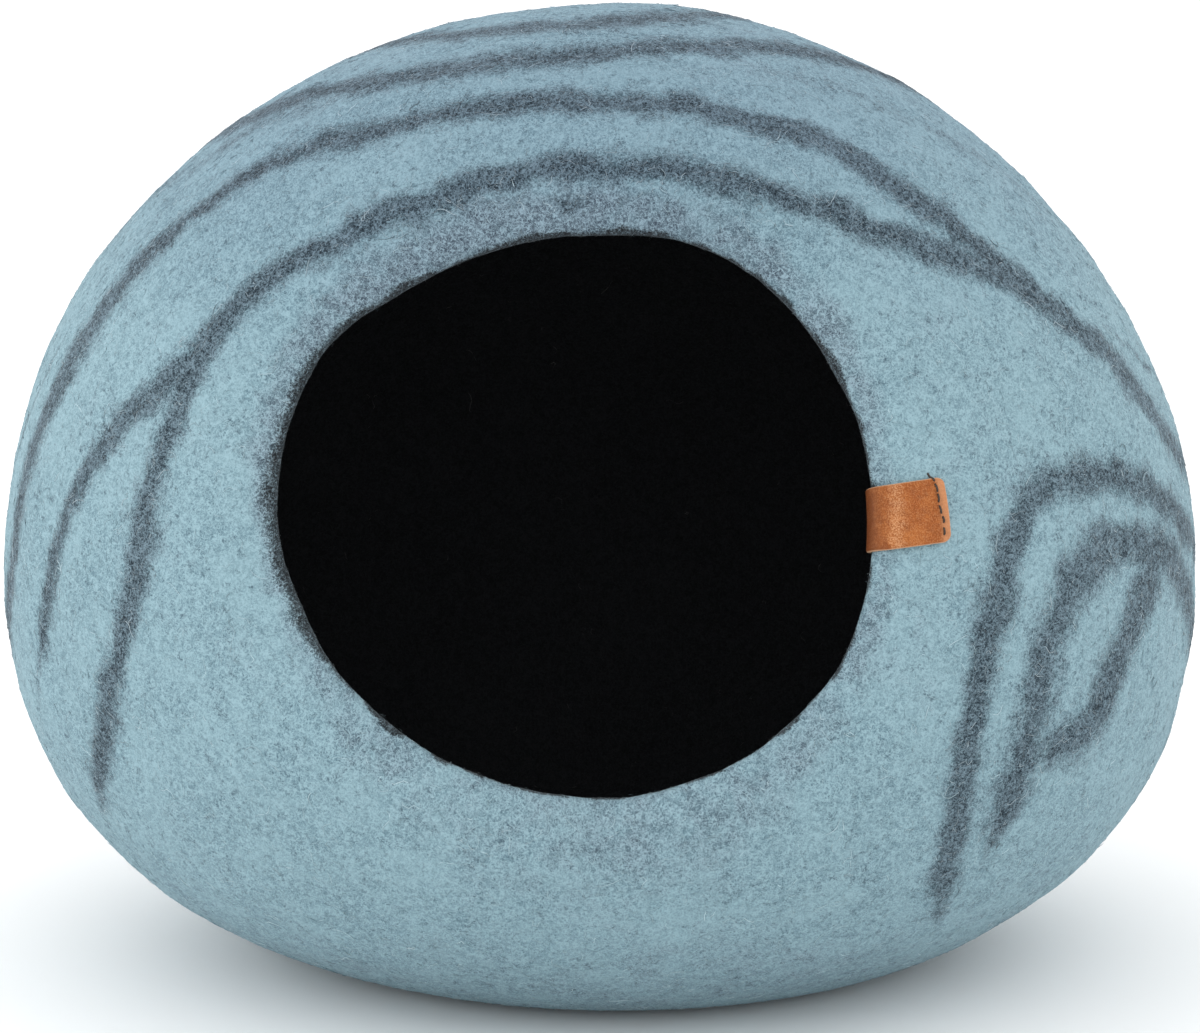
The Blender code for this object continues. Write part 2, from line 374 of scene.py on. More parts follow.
def band_depth(points):
    """How deep each point lies in a band: 1 on its middle line, 0 at its edge, and falling outside it."""
    from_middle = wandered(points, BAND_SEEDS, BAND_WANDER) - BODY_MIDDLE
    reach = np.linalg.norm(from_middle, axis=-1)
    towards = from_middle / reach[:, None]
    deepest = np.full(len(points), NO_BAND)
    for half_width, darkness, first_fade, last_fade, route in BANDS:
        route = np.array(route, float)
        line = unit(smooth_path(direction(route[:, 0], route[:, 1])))
        steps = np.linalg.norm(np.diff(line, axis=0), axis=1)
        run = np.concatenate([[0], np.cumsum(steps)]) * HALF_WIDTH / MM
        fade = np.clip(np.minimum(run / first_fade, (run[-1] - run) / last_fade), 0, 1) ** BAND_FADE_CURVE
        for chunk in np.array_split(np.arange(len(points)), CHUNKS):
            cosine = towards[chunk] @ line.T
            here = fade[cosine.argmax(1)]
            away = np.arccos(np.clip(cosine.max(1), -1, 1)) * reach[chunk] / MM
            width = half_width * (BAND_END_WIDTH + (1 - BAND_END_WIDTH) * here)
            depth = (1 - away / width) - BAND_FADE_DEPTH * (1 - here * darkness)
            deepest[chunk] = np.maximum(deepest[chunk], depth)
    return deepest


def lip_wear_and_shade(points):
    """Beside the opening: how thin the blue wool lies over the dark wool (0 to 1), with painted shade where
    the lip turns in and beside the foot, and how far the dark rim reaches, which is painted shade with some
    worn wool."""
    from_middle = wandered(points, WEAR_AND_SHADE_SEEDS, WEAR_AND_SHADE_WANDER) - BODY_MIDDLE
    along_axis = from_middle @ AXIS
    clock = np.arctan2(from_middle @ UP, from_middle @ RIGHT)
    from_crest = np.linalg.norm(from_middle - along_axis[:, None] * AXIS, axis=1) - lip_crest_radius(clock)
    hour, thin_reach, thin_most, rim_reach = np.array(LIP_WEAR_AND_SHADE).T
    turn = np.degrees(clock) % 360
    reach, most, dark_reach = (np.interp(turn, hour, row) for row in (thin_reach, thin_most, rim_reach))
    in_front = along_axis > 0
    # painted shade beside the foot, near the floor
    foot = FOOT_SHADE * (1 - smooth_step(points[:, 2], *FOOT_SHADE_HEIGHTS))
    # thin wool by the lip, which also carries painted shade where the lip turns in
    thin = most * (1 - smooth_step(from_crest / (reach * MM), 0.3, 1.0)) * in_front
    # the dark rim: painted shade where the lip turns into the opening, with some worn wool
    rim = (1 - smooth_step(from_crest / (dark_reach * MM), 0.0, 1.0)) * in_front
    return np.maximum(thin, foot), rim


# ================================================================ meshes
def mesh_object(name, points, faces, attributes=None):
    mesh = bpy.data.meshes.new(name)
    mesh.from_pydata(points, [], faces)
    for key, values in (attributes or {}).items():
        layer = mesh.attributes.new(key, "FLOAT", "POINT")
        layer.data.foreach_set("value", np.asarray(values, np.float32))
    mesh.shade_smooth()
    made = bpy.data.objects.new(name, mesh)
    bpy.context.scene.collection.objects.link(made)
    return made


def read_rows(items, key, each, kind=np.float64):
    """A property of a mesh's items as an array, with `each` numbers in a row."""
    flat = np.empty(len(items) * each, kind)
    items.foreach_get(key, flat)
    return flat.reshape(-1, each)


def ring_faces(count, around):
    """Quads between `count` rings of `around` points each."""
    ring = np.arange(around)
    after = (ring + 1) % around
    faces = []
    for k in range(count - 1):
        low, high = k * around, (k + 1) * around
        faces.append(np.stack([low + ring, low + after, high + after, high + ring], -1))
    return np.concatenate(faces)


def skin_rings(band_rows, rows):
    """Points, normals and lumps of rings from the lip's end to the back of the shell, on its outer skin."""
    lip = lip_polar(RING_CLOCKS)
    band = lip + CURL_REACH / body_radius(towards_of(lip, RING_CLOCKS))
    last = np.pi - BACK_GAP
    beside_lip = [lip + (band - lip) * k / band_rows for k in range(band_rows)]
    polar = np.stack(beside_lip + [band + (last - band) * k / rows for k in range(rows + 1)])
    clocks = np.broadcast_to(RING_CLOCKS, polar.shape)
    skin = outer_point(polar, clocks)
    lumps = shell_lumps(skin.reshape(-1, 3)).reshape(polar.shape)
    return skin, outer_normal(polar, clocks), lumps[..., None]


def shell_piece():
    """The felt wall as one closed mesh: rings from the back outside, over the lip, to the back inside."""
    skin, normal, lumps = skin_rings(LIP_BAND_ROWS, OUTER_ROWS)
    outer = (skin + normal * lumps)[::-1]
    skin, normal, lumps = skin_rings(INNER_LIP_BAND_ROWS, INNER_ROWS)
    inner = skin - normal * (WALL + INNER_LUMP_SHARE * lumps)
    along = np.pi / 4 * WALL * (1 - 2 * np.arange(1, LIP_ROWS) / LIP_ROWS)[:, None] * np.ones(AROUND)
    clocks = np.broadcast_to(RING_CLOCKS, along.shape)
    lumps = shell_lumps(wall_point(along, clocks).reshape(-1, 3)).reshape(along.shape)
    on_lip = wall_point(along, clocks, lumps)

    rings = np.concatenate([outer, on_lip, inner])
    points = np.concatenate([rings.reshape(-1, 3), rings[0].mean(0)[None], rings[-1].mean(0)[None]])
    faces = ring_faces(len(rings), AROUND)[:, ::-1].tolist()
    pole, inner_pole, last_ring = len(points) - 2, len(points) - 1, (len(rings) - 1) * AROUND
    for k in range(AROUND):
        after = (k + 1) % AROUND
        faces.append([pole, k, after])
        faces.append([inner_pole, last_ring + after, last_ring + k])

    # 0 outside, 1 inside, half on the lip's crest
    over_lip = np.arange(1, LIP_ROWS) / LIP_ROWS * 0.9 + 0.05
    past_lip = np.minimum(1.0, 0.95 + 0.01 * np.arange(len(inner)))
    inside = np.repeat(np.concatenate([np.zeros(len(outer)), over_lip, past_lip]), AROUND)
    inside = np.concatenate([inside, [0.0, 1.0]])
    outside = inside < INSIDE_FROM
    thin, rim = lip_wear_and_shade(points)
    values = (
        np.where(outside, band_depth(points), NO_BAND),
        inside,
        thin * outside,
        np.where(outside, rim, 1.0),
        crest_share(len(outer), len(on_lip), len(inner)),
    )
    return mesh_object("felt_wall", points, faces, dict(zip(WALL_VALUES, values)))


def crest_share(outer, on_lip, inner):
    """1 on the lip, falling to 0 a few millimetres down either side, for each point of so many rings."""
    rings = np.concatenate([
        1 - np.arange(1, outer + 1)[::-1] * CURL_REACH / LIP_BAND_ROWS / CREST_REACH,
        np.ones(on_lip),
        1 - np.arange(1, inner + 1) * CURL_REACH / INNER_LIP_BAND_ROWS / CREST_REACH,
    ])
    return np.concatenate([np.repeat(np.clip(rings, 0, 1), AROUND), [0.0, 0.0]])


def tubes(routes, radii, sides):
    """Closed tapering tubes. routes: tubes x points x 3; radii: tubes x points, whose ends count as nought.
    Gives the points, the faces and the number of points in a tube."""
    count, stations, _ = routes.shape
    heading = unit(np.gradient(routes, axis=1))
    across = unit(np.cross(heading, [0.31, 0.47, 0.83]))
    third = np.cross(heading, across)
    turn = np.arange(sides) * 2 * np.pi / sides
    arm = np.cos(turn)[:, None] * across[:, 1:-1, None] + np.sin(turn)[:, None] * third[:, 1:-1, None]
    rings = routes[:, 1:-1, None] + arm * radii[:, 1:-1, None, None]
    points = np.concatenate([rings.reshape(count, -1, 3), routes[:, :1], routes[:, -1:]], 1)
    first_tip, last_tip = sides * (stations - 2), sides * (stations - 2) + 1
    end = sides * (stations - 3)
    caps = [[first_tip, (k + 1) % sides, k] for k in range(sides)]
    caps += [[last_tip, end + k, end + (k + 1) % sides] for k in range(sides)]
    per_tube = points.shape[1]
    first_points = (np.arange(count) * per_tube)[:, None, None]
    quads = ring_faces(stations - 2, sides)[None] + first_points
    ends = np.array(caps)[None] + first_points
    return points.reshape(-1, 3), quads.reshape(-1, 4).tolist() + ends.reshape(-1, 3).tolist(), per_tube


# ================================================================ loose fibres
FIBRE_BEND = 1.5  # radians that a fibre usually turns along its length
FIBRE_WAVE = 1.1  # and swings to either side
FIBRE_COMB_SPREAD = 0.45  # how far combed fibres stray from the band's own way
FIBRE_SUNK = 0.12 * MM
FIBRE_RIPPLE = 0.10 * MM
FIBRE_LOWEST = 0.0004
TAB_CLEARANCE = (0.0145, 0.0215)  # half width across the tab, and reach round its middle
FOOT_CLEARANCE = 0.0025
LAID = dict(length=(3.5 * MM, 11 * MM), stand=(0.12 * MM, 0.8 * MM), thick=(0.07 * MM, 0.15 * MM))
STRAY = dict(length=(3.0 * MM, 8.0 * MM), stand=(0.5 * MM, 2.6 * MM), thick=(0.04 * MM, 0.08 * MM))
FRINGE = dict(length=(1.6 * MM, 4.2 * MM), stand=(0.1 * MM, 1.1 * MM), thick=(0.025 * MM, 0.05 * MM))


def skin_samples(wall, count, seed, wanted):
    """Random places on the felt wall: points, normals, the direction in which a band runs there, the wall's
    values, and the random generator. `wanted` weighs the corners of its faces."""
    mesh = wall.data
    mesh.calc_loop_triangles()
    corners = read_rows(mesh.vertices, "co", 3)
    normals = read_rows(mesh.vertices, "normal", 3)
    triangles = read_rows(mesh.loop_triangles, "vertices", 3, np.int32)
    values = {key: read_rows(mesh.attributes[key].data, "value", 1, np.float32)[:, 0] for key in WALL_VALUES}
    weight = wanted(corners, values)[triangles].mean(1)
    a, b, c = (corners[triangles[:, k]] for k in range(3))
    weight = weight * np.linalg.norm(np.cross(b - a, c - a), axis=1)
    rng = np.random.default_rng(seed)
    chosen = triangles[rng.choice(len(triangles), count, p=weight / weight.sum())]
    u, v = rng.random((2, count, 1))
    u, v = np.where(u + v > 1, 1 - u, u), np.where(u + v > 1, 1 - v, v)
    share = np.concatenate([1 - u - v, u, v], 1)[..., None]
    place = (corners[chosen] * share).sum(1)
    normal = unit((normals[chosen] * share).sum(1))
    a, b, c = (corners[chosen[:, k]] for k in range(3))
    depth_a, depth_b, depth_c = (values["band"][chosen[:, k]][:, None] for k in range(3))
    rise = depth_a * np.cross(normal, c - b) + depth_b * np.cross(normal, a - c)
    rise = rise + depth_c * np.cross(normal, b - a)
    along_band = unit(np.cross(normal, rise) + 1e-9 * np.cross(normal, [0.3, 0.5, 0.8]))
    here = {key: (value[chosen] * share[..., 0]).sum(1) for key, value in values.items()}
    return place, normal, along_band, here, rng


def fibre_piece(wall, name, count, seed, wanted, length, stand, thick, stations=6, combed=0.0):
    """Loose wool fibres: curling tapered strands that lie on the felt, with their ends in it or standing
    off it. length, stand and thick are (least, most) in metres. combed is the share that follows a band."""
    place, normal, along_band, values, rng = skin_samples(wall, count, seed, wanted)
    random_way = unit(np.cross(normal, unit(rng.normal(size=(count, 3)))))
    combed_way = along_band + FIBRE_COMB_SPREAD * random_way
    way = np.where(rng.random((count, 1)) < combed, combed_way, random_way)
    sideways = unit(np.cross(normal, way))
    forward = np.cross(sideways, normal)
    reach = length[0] + (length[1] - length[0]) * rng.random(count) ** 1.6
    t = np.linspace(0, 1, stations)[None]
    bend = rng.normal(size=(count, 1)) * FIBRE_BEND
    wave = rng.normal(size=(count, 1)) * FIBRE_WAVE
    heading = bend * t + wave * np.sin(2 * np.pi * (t + rng.random((count, 1))))
    step = reach[:, None] / (stations - 1)
    x = np.cumsum(np.cos(heading) * step, 1) - step * stations / 2
    y = np.cumsum(np.sin(heading) * step, 1)
    rise = stand[0] + (stand[1] - stand[0]) * rng.random((count, 1)) ** 3
    lift_off = rise * np.sin(np.pi * t * (0.5 + 0.5 * rng.random((count, 1)))) - FIBRE_SUNK
    lift_off = lift_off + FIBRE_RIPPLE * np.sin(2 * np.pi * (1.5 * t + rng.random((count, 1))))
    route = place[:, None] + x[..., None] * forward[:, None] + y[..., None] * sideways[:, None]
    route = route + lift_off[..., None] * normal[:, None]
    route[..., 2] = np.maximum(route[..., 2], FIBRE_LOWEST)
    radius = thick[0] + (thick[1] - thick[0]) * rng.random((count, 1)) ** 2
    radii = radius * np.sqrt(np.clip(1.1 - (2 * t - 1) ** 2, 0.15, 1))
    points, faces, per_tube = tubes(route, radii, 3)
    values["tone"] = rng.random(count)
    attributes = {key: np.repeat(value, per_tube) for key, value in values.items()}
    made = mesh_object(name, points, faces, attributes)
    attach(made, "root")
    return made


def off_tab_and_foot(corners):
    """0 under the tab and on the foot, 1 elsewhere."""
    from_tab = corners - tab_point(0.012, 1.5)
    across = np.abs(from_tab @ UP)
    half_width, reach = TAB_CLEARANCE
    under_tab = (across < half_width) & (np.linalg.norm(from_tab, axis=1) < reach)
    return np.where(under_tab | (corners[:, 2] < FOOT_CLEARANCE), 0.0, 1.0)


def anywhere(corners, values):
    """Weights for fibres all over the outside, with a few inside."""
    return off_tab_and_foot(corners) * np.where(values["inside"] < 0.5, 1.0, 0.1) * (values["crest"] < 0.1)


def where_thin(corners, values):
    """Weights for more fibres where the blue wool lies thin."""
    on_skin = (values["inside"] < 0.5) & (values["crest"] < 0.1)
    return off_tab_and_foot(corners) * on_skin * (0.25 + np.clip(values["thin"], 0, 1))


def near_bands(corners, values):
    return off_tab_and_foot(corners) * np.where(values["band"] > -0.8, 1.0, 0.0)


def at_lip(corners, values):
    return off_tab_and_foot(corners) * values["crest"]


# ================================================================ the tab
STITCH_COUNT = 5
STITCH_FROM_END = (0.0030, 0.0017)  # at the tab's upper and lower edge
STITCH_SPAN = (0.88, -0.84)  # where the row starts and ends across the strip, in half widths
STITCH_SINK = 0.9 * MM  # how far a stitch's ends dive into the leather
THREAD_RADIUS = 0.33 * MM
THREAD_STATIONS = 12
HOLE_PIT = 0.5 * MM  # depth and reach of the pit round each stitch hole
HOLE_REACH = 0.75 * MM
END_LIFT = 0.7 * MM  # how far the free margin past the stitches stands off the felt
BELLY_LIFT = 0.35 * MM  # and how far the strip bulges between the lip and the stitches
BELLY_MIDDLE = 0.012
BELLY_SPREAD = 0.005
EDGE_ROUNDING = 0.45 * MM
TAB_FINENESS = 0.0005
TAB_COLUMNS = 37


def strip_half_width(from_end):
    short = np.clip(1 - from_end / TAB_CORNER, 0, 1)
    return TAB_WIDTH / 2 - TAB_CORNER * (1 - np.sqrt(1 - short**2))


def strip_point(along, across, proud):
    """A point of the strip: `along` from the lip's crest, `across` from the middle, `proud` off the felt."""
    place = along * (1 - across / TAB_FRONT_LENGTH * np.tan(np.radians(TAB_END_LEAN)))
    from_fold = np.hypot(along, WALL / 2) - WALL / 2
    sideways = across + from_fold * np.tan(np.radians(TAB_LEAN))
    clock = np.full(np.shape(place), np.radians(TAB_CLOCK))
    clock = clock + sideways / axis_distance(wall_point(place, clock))
    return wall_point(place, clock, proud)


def stitch_line(share):
    """Along and across of the row of stitches, from 0 at its upper end to 1 at its lower end."""
    across = (STITCH_SPAN[0] + (STITCH_SPAN[1] - STITCH_SPAN[0]) * share) * TAB_WIDTH / 2
    along = TAB_FRONT_LENGTH - STITCH_FROM_END[0] + (STITCH_FROM_END[0] - STITCH_FROM_END[1]) * share
    return along, across


def stitch_ends():
    """Shares of the stitch line at which each stitch goes in and comes out."""
    pitch = 1 / STITCH_COUNT
    rng = np.random.default_rng(STITCH_SEED)
    starts = pitch * (np.arange(STITCH_COUNT) + 0.05 + 0.12 * rng.random(STITCH_COUNT))
    return [(start, start + pitch * (0.58 + 0.22 * rng.random())) for start in starts]


def tab_stand(along, across):
    """How far the leather's underside stands off the felt: drawn down at the stitches, loose past them."""
    share = (STITCH_SPAN[0] - across / (TAB_WIDTH / 2)) / (STITCH_SPAN[0] - STITCH_SPAN[1])
    seam_along, _ = stitch_line(np.clip(share, 0, 1))
    loose = smooth_step(np.abs(along) - seam_along, 0.0002, 0.0030) * END_LIFT
    belly = BELLY_LIFT * np.exp(-(((np.abs(along) - BELLY_MIDDLE) / BELLY_SPREAD) ** 2))
    return SEAT_GAP + loose + np.where(along > 0, belly, 0.5 * belly)


def tab_piece():
    """The leather strip as a closed loft with rounded edges and a small pit round each stitch hole."""
    ends = EDGE_ROUNDING * (1 - np.cos(np.linspace(0, np.pi / 2, 5)))
    first, last = TAB_FRONT_LENGTH - 2 * EDGE_ROUNDING, 2 * EDGE_ROUNDING - TAB_BACK_LENGTH
    middle = np.arange(first, last, -TAB_FINENESS)
    stations = np.array([*(TAB_FRONT_LENGTH - ends), *middle, *(ends[::-1] - TAB_BACK_LENGTH)])
    along = np.repeat(stations[:, None], TAB_COLUMNS, 1)
    from_end = np.minimum(TAB_FRONT_LENGTH - along, along + TAB_BACK_LENGTH)
    half = strip_half_width(from_end)
    across = np.linspace(-1, 1, TAB_COLUMNS) * half
    base = tab_stand(along, across)
    from_edge = np.clip(np.minimum(half - np.abs(across), from_end) / EDGE_ROUNDING, 0, 1)
    round_off = EDGE_ROUNDING * (1 - np.sqrt(1 - (1 - from_edge) ** 2))
    pit = np.zeros(along.shape)
    for hole_along, hole_across in (stitch_line(share) for stitch in stitch_ends() for share in stitch):
        away = np.hypot(np.abs(along) - hole_along, across - hole_across)
        pit += HOLE_PIT * np.exp(-((away / HOLE_REACH) ** 2))
    flat_place = np.stack([along, across, 0 * across], -1).reshape(-1, 3)
    grain = ripples(flat_place, GRAIN_SEED, *LEATHER_GRAIN).reshape(along.shape)
    over = strip_point(along, across, base + TAB_THICKNESS - round_off - pit + grain)
    under = strip_point(along, across, base + 0.6 * round_off)
    rings = np.concatenate([over, under[:, ::-1]], 1)
    around = rings.shape[1]
    faces = ring_faces(len(rings), around).tolist()
    faces += [list(range(around))[::-1], [(len(rings) - 1) * around + k for k in range(around)]]
    attributes = {
        "rub": np.concatenate([1 - from_edge, 1 - from_edge], 1).ravel(),
        "station": np.repeat(stations, around),
        "grain_side": np.tile(np.repeat([1.0, 0.0], TAB_COLUMNS), len(rings)),
    }
    made = mesh_object("tab_leather", rings.reshape(-1, 3), faces, attributes)
    made.data.set_sharp_from_angle(angle=np.radians(75))
    return made


def thread_piece():
    """The row of stitches, each of which dives through the leather at both ends, and one more thread that
    wraps the tab's upper edge."""
    routes = []
    arch = np.sin(np.pi * np.linspace(0, 1, THREAD_STATIONS)) ** 0.45
    for k, (first, last) in enumerate(stitch_ends()):
        share = first + (last - first) * np.linspace(0, 1, THREAD_STATIONS)
        along, across = stitch_line(share)
        along = along + 0.25 * MM * np.sin(2.4 * k + 9.0 * (share - first))
        surface = tab_stand(along, across) + TAB_THICKNESS
        proud = surface - STITCH_SINK + (STITCH_SINK + 0.55 * THREAD_RADIUS) * arch
        routes.append(strip_point(along, across, proud))
    across = np.linspace(STITCH_SPAN[0] * TAB_WIDTH / 2, TAB_WIDTH / 2 + 2.2 * MM, THREAD_STATIONS)
    along = stitch_line(0.0)[0] - np.linspace(0, 1.1 * MM, THREAD_STATIONS)
    over_edge = smooth_step(across, TAB_WIDTH / 2 - 0.5 * MM, TAB_WIDTH / 2 + 1.0 * MM)
    surface = tab_stand(along, across) + TAB_THICKNESS
    proud = surface + 0.4 * THREAD_RADIUS - over_edge * (TAB_THICKNESS + 0.3 * MM)
    routes.append(strip_point(along, across, proud))
    routes = np.stack(routes)
    points, faces, _ = tubes(routes, THREAD_RADIUS * np.ones(routes.shape[:2]), 10)
    return mesh_object("stitch_thread", points, faces)


# ================================================================ materials
# colours, as linear light
FELT_DEEP = (0.112, 0.191, 0.232)
FELT_MIDDLE = (0.176, 0.280, 0.323)
FELT_LIGHT = (0.267, 0.401, 0.453)
FELT_FLECK = (0.060, 0.100, 0.128)
THIN_AND_SHADED_GROUND = (0.046, 0.064, 0.086)
THIN_AND_SHADED_LIGHT = (0.250, 0.350, 0.406)
BAND_GROUND = (0.007, 0.015, 0.023)
BAND_LIGHT = (0.145, 0.208, 0.250)
RIM_SHADE_GROUND = (0.006, 0.006, 0.006)
RIM_SHADE_LIGHT = (0.030, 0.033, 0.038)
INNER_SHADE_GROUND = (0.012, 0.013, 0.015)
INNER_SHADE_LIGHT = (0.040, 0.043, 0.047)
CROWN_SHADE_TINT = (0.80, 0.81, 0.86)
WOOL_SHEEN = (0.80, 0.92, 1.0)
# a dull and a bright fibre of each kind
BLUE_FIBRES = ((0.205, 0.325, 0.380), (0.560, 0.720, 0.775))
THIN_AND_SHADED_FIBRES = ((0.130, 0.200, 0.240), (0.520, 0.640, 0.690))
BAND_FIBRES = ((0.036, 0.052, 0.064), (0.460, 0.560, 0.610))
INNER_SHADE_FIBRES = ((0.010, 0.010, 0.011), (0.100, 0.100, 0.105))
FIBRE_SHADE = (0.085, 0.150, 0.185)
TAN_DEEP = (0.289, 0.076, 0.014)
TAN_LIGHT = (0.405, 0.130, 0.030)
TAN_BLOTCH = (0.195, 0.056, 0.016)
TAN_PORE = (0.144, 0.036, 0.008)
TAN_PALE_PORE = (0.564, 0.303, 0.152)
TAN_FOLD_SHADE = (0.108, 0.030, 0.010)
TAN_SHEEN_HIGHLIGHT = (0.614, 0.339, 0.173)
TAN_MARGIN = (0.620, 0.300, 0.150)
LEATHER_FLESH = (0.289, 0.159, 0.087)
LEATHER_EDGE = (0.600, 0.380, 0.240)
THREAD_PLIES = ((0.014, 0.010, 0.008), (0.060, 0.040, 0.028))
FLOOR_PAINT = (0.92, 0.92, 0.92)

# noise cells a metre, from fine to broad
SPECKS = 1300
TUFTS = 330
PATCHES = 85
CLOUDS = 17

# where each value starts to count and where it counts in full
CROWN_SHADE_HEIGHTS = (0.235, 0.345)
BAND_EDGE = (-0.42, 0.72)
WORN_AND_SHADED_EDGE = (-0.04, 1.15)
RIM_SHADE_EDGE = (0.05, 1.10)
INSIDE_EDGE = (0.60, 0.88)
FIBRE_BAND_EDGE = (-0.30, 0.50)
FIBRE_INSIDE_EDGE = (0.62, 0.88)
FOLD_SHADE_REACH = (0.0085, 0.0010)  # from the fold
HIGHLIGHT_FROM_FOLD = 0.0092
HIGHLIGHT_REACH = (0.0034, 0.0002)  # from the painted highlight's middle
MARGIN_FROM_END = (0.0034, 0.0018)

# columns: noise cells a metre, turn in radians about each axis, squeeze along the second axis, curl,
# half width of the line in noise height, and how much it counts
FIBRE_SETS = (
    (420, (0.3, 0.2, 0.5), 0.45, 0.6, 0.040, 0.50),
    (470, (1.1, 0.7, 1.9), 0.50, 0.9, 0.042, 0.46),
    (390, (0.2, 1.3, 2.8), 0.55, 1.2, 0.036, 0.50),
    (540, (2.1, 0.4, 0.9), 0.50, 0.8, 0.046, 0.42),
    (640, (0.8, 2.2, 1.4), 0.65, 1.4, 0.052, 0.38),
    (760, (1.7, 1.5, 0.1), 0.70, 1.6, 0.058, 0.34),
)


class Pattern:
    """A small builder of shader node trees."""

    def __init__(self, name):
        self.material = bpy.data.materials.new(name)
        self.material.use_nodes = True
        self.nodes = self.material.node_tree.nodes
        self.links = self.material.node_tree.links
        self.shader = self.nodes["Principled BSDF"]
        self.place = self.nodes.new("ShaderNodeTexCoord").outputs["Object"]

    def node(self, kind, inputs=None, **settings):
        made = self.nodes.new(kind)
        for key, value in settings.items():
            setattr(made, key, value)
        for key, value in (inputs or {}).items():
            self.feed(made.inputs[key], value)
        return made

    def feed(self, socket, value):
        if isinstance(value, bpy.types.NodeSocket):
            self.links.new(value, socket)
        elif isinstance(value, tuple) and len(value) == 3 and len(socket.default_value) == 4:
            socket.default_value = (*value, 1.0)
        else:
            socket.default_value = value

    def math(self, operation, *values, clamp=False):
        made = self.node("ShaderNodeMath", operation=operation, use_clamp=clamp)
        for socket, value in zip(made.inputs, values):
            self.feed(socket, value)
        return made.outputs[0]

    def attribute(self, name):
        return self.node("ShaderNodeAttribute", attribute_name=name).outputs["Fac"]

    def noise(self, scale, detail=2.0, rough=0.55, warp=0.0, place=None):
        inputs = {"Vector": place or self.place, "Scale": scale}
        inputs.update({"Detail": detail, "Roughness": rough, "Distortion": warp})
        return self.node("ShaderNodeTexNoise", inputs).outputs["Fac"]

    def stirred(self, value, *noises):
        """The value moved up and down by noises, each given with how much it counts."""
        for noise, counts in noises:
            value = self.math("MULTIPLY_ADD", self.math("SUBTRACT", noise, 0.5), counts, value)
        return value

    def stretched(self, turn, squeeze, shift=(0, 0, 0)):
        """The coordinates, turned and squeezed along one axis, which draws a noise out into streaks."""
        inputs = {"Vector": self.place, "Rotation": turn, "Scale": squeeze, "Location": shift}
        return self.node("ShaderNodeMapping", inputs).outputs[0]

    def lines(self, noise, width):
        """Thin wandering lines, 1 on the line and 0 away from it, where the noise passes its middle."""
        off = self.math("ABSOLUTE", self.math("SUBTRACT", noise, 0.5))
        return self.math("SUBTRACT", 1.0, self.math("DIVIDE", off, width), clamp=True)

    def span(self, value, low, high, new_low=0.0, new_high=1.0):
        """The value eased from new_low, where it is low, to new_high, where it is high."""
        inputs = {"Value": value, "From Min": low, "From Max": high, "To Min": new_low, "To Max": new_high}
        return self.node("ShaderNodeMapRange", inputs, interpolation_type="SMOOTHSTEP").outputs[0]

    def mix(self, share, first, second, blend="MIX"):
        made = self.node("ShaderNodeMix", data_type="RGBA", blend_type=blend, clamp_factor=True)
        self.feed(made.inputs[0], share)
        self.feed(made.inputs[6], first)
        self.feed(made.inputs[7], second)
        return made.outputs[2]

    def painted_crown_shade(self, colour):
        """Painted shade: the wool is made a little darker and greyer over the crown, where less light falls.
        """
        height = self.node("ShaderNodeSeparateXYZ", {"Vector": self.place}).outputs["Z"]
        uneven = self.math("MULTIPLY_ADD", self.noise(14, 2, 0.5), 0.05, height)
        return self.mix(self.span(uneven, *CROWN_SHADE_HEIGHTS), colour, CROWN_SHADE_TINT, blend="MULTIPLY")

    def bump(self, height, distance, strength=1.0):
        inputs = {"Height": height, "Distance": distance, "Strength": strength}
        return self.node("ShaderNodeBump", inputs).outputs[0]

    def finish(self, **sockets):
        for key, value in sockets.items():
            self.feed(self.shader.inputs[key.replace("_", " ")], value)
        return self.material


def wool_web(p):
    """A web of single fibres: thin curling lines in several directions, laid over each other."""
    web = 0.0
    for number, (scale, turn, squeeze, curl, half_width, counts) in enumerate(FIBRE_SETS):
        place = p.stretched(turn, (1.0, squeeze, 1.0), (number, 2 * number, 3 * number))
        line = p.lines(p.noise(scale, 1.0, 0.5, curl, place), half_width)
        web = p.math("MULTIPLY_ADD", line, counts, web)
    return web


